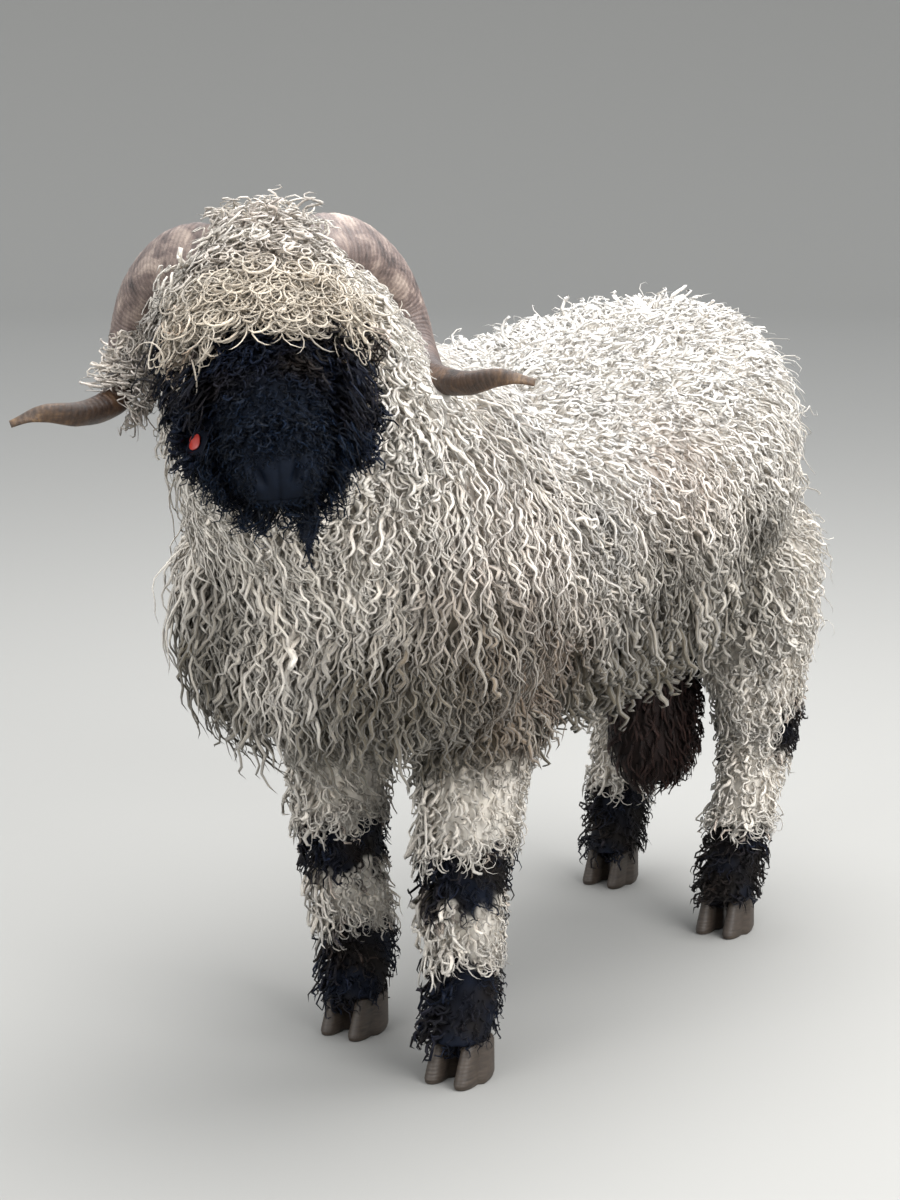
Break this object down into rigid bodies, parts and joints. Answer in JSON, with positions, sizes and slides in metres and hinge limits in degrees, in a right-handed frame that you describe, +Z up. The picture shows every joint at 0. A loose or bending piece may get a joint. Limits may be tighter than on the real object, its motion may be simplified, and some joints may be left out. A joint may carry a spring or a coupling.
{
  "type": "valais blacknose sheep",
  "caption": "Life-size standing horned ram in long curly fleece, black face, knees, hocks and feet, head turned to its left; rests on its claws.",
  "frame": {"origin": "on the floor, under the middle of the ram's bounding box", "axes": "+Z up; the ram's trunk lies along Y and it faces -Y; its left side is at +X"},
  "size_m": [0.5305, 1.2691, 0.9941],
  "materials": {
    "fleece": "matt, long wavy locks, cream with dust and rust stains",
    "black_wool": "soft black curls with a dull sheen",
    "purse_wool": "matted dark brown wool",
    "horn": "ringed grey-brown horn, worn smooth at the tips",
    "hoof": "dark hoof horn with faint rings",
    "eye": "wet, dark brown",
    "tag_plastic": "orange-red moulded plastic, blank"
  },
  "bodies": {
    "root": {"torso": "fleece", "neck": "fleece", "tail": "fleece", "head": "black_wool", "scrotum": "purse_wool", "leg_front_left": "fleece", "leg_front_right": "fleece", "leg_hind_left": "fleece", "leg_hind_right": "fleece", "horn_left": "horn", "ear_left": "black_wool", "eye_left": "eye", "horn_right": "horn", "ear_right": "black_wool", "eye_right": "eye", "ear_tag": "tag_plastic", "claw_front_left_inner": "hoof", "claw_front_left_outer": "hoof", "claw_front_right_inner": "hoof", "claw_front_right_outer": "hoof", "claw_hind_left_inner": "hoof", "claw_hind_left_outer": "hoof", "claw_hind_right_inner": "hoof", "claw_hind_right_outer": "hoof"}
  },
  "joints": []
}
